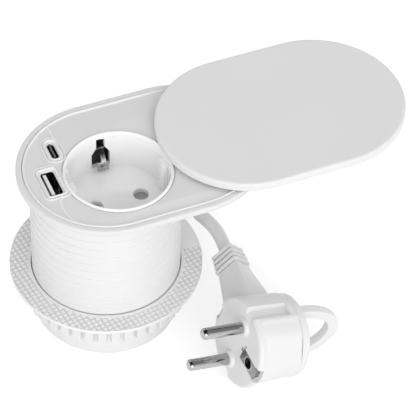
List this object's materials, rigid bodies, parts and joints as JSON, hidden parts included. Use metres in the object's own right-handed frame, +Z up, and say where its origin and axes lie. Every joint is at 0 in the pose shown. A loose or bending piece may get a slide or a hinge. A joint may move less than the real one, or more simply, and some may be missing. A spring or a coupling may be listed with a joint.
{
  "type": "built-in desk power socket",
  "caption": "Desk-mounted power socket: oval bezel with an earthed socket and USB ports under a sliding lid, threaded body with clamp washer and nut, mains cord and plug.",
  "frame": {"origin": "centre of the body's foot, on the axis of the threaded tube", "axes": "+Z up along the tube's axis, +X along the bezel's long side towards the opened lid, +Y to the back where the cord leaves"},
  "size_m": [0.1866, 0.1578, 0.0827],
  "materials": {
    "white_satin": "fine satin moulding",
    "white_gloss": "smooth, soft gloss",
    "cord_white": "satin flexible sheath",
    "tie_black": "woven hook strap",
    "inner_grey": "plain moulding",
    "dark_plastic": "matt",
    "white_plastic": "matt",
    "wire_covering": "satin",
    "board": "lacquered",
    "steel": "bright plated",
    "brass": "bare",
    "nickel": "polished",
    "can": "sleeved"
  },
  "bodies": {
    "housing": {"bezel_frame": "white_satin", "socket_panel": "white_satin", "usb_panel": "white_satin", "frame_screws": "steel", "socket_cup": "white_gloss", "contact_block": "inner_grey", "block_cover": "inner_grey", "block_screws": "steel", "pin_contacts": "brass", "terminal_screws": "steel", "earth_bracket": "steel", "shutter_spring": "steel", "usb_a_shell": "steel", "usb_a_tongue": "white_plastic", "usb_c_shell": "steel", "usb_c_tongue": "dark_plastic", "usb_board": "board", "housing_tube": "white_satin", "bottom_cap": "white_satin", "cap_screws": "steel", "charger_board": "board", "board_screws": "steel", "charger_transformer": "dark_plastic", "charger_capacitors": "can", "slide_keys": "white_satin", "key_screws": "steel", "cord_gland": "white_satin", "cable_tail": "cord_white", "cord_clamp": "inner_grey", "clamp_screws": "steel", "wire_cores": "wire_covering", "cord_lead_in": "cord_white", "cord_hank": "cord_white", "cord_tie": "tie_black", "cord_lead_out": "cord_white", "plug_body": "white_satin", "plug_pins": "nickel", "plug_earth_clips": "nickel", "plug_back": "white_satin", "plug_pull_ring": "white_satin", "plug_strain_relief": "white_satin"},
    "lid": {"lid_plate": "white_gloss", "lid_slider": "white_satin", "lid_screws": "steel"},
    "shutter_plate": {"shutter": "inner_grey"},
    "washer": {"clamp_washer": "white_satin"},
    "nut": {"clamp_nut": "white_satin"}
  },
  "joints": [
    {"name": "lid_slide", "type": "slide", "parent": "housing", "child": "lid", "axis": [1, 0, 0], "range_m": [-0.0588, 0]},
    {"name": "shutter_slide", "type": "slide", "parent": "housing", "child": "shutter_plate", "axis": [0, 1, 0], "range_m": [0, 0.0066], "stiffness_N_per_m": 120, "springref_m": -0.006, "deforming": ["shutter_spring"]},
    {"name": "washer_lift", "type": "slide", "parent": "housing", "child": "washer", "axis": [0, 0, 1], "range_m": [0, 0.044]},
    {"name": "nut_spin", "type": "hinge", "parent": "washer", "child": "nut", "pos_m": [0, 0, 0.0174], "axis": [0, 0, 1], "range_deg": [0, 3660]}
  ],
  "couplings": [
    {"joint": "washer_lift", "follows": "nut_spin", "m_per_rad": 0.00068437}
  ]
}
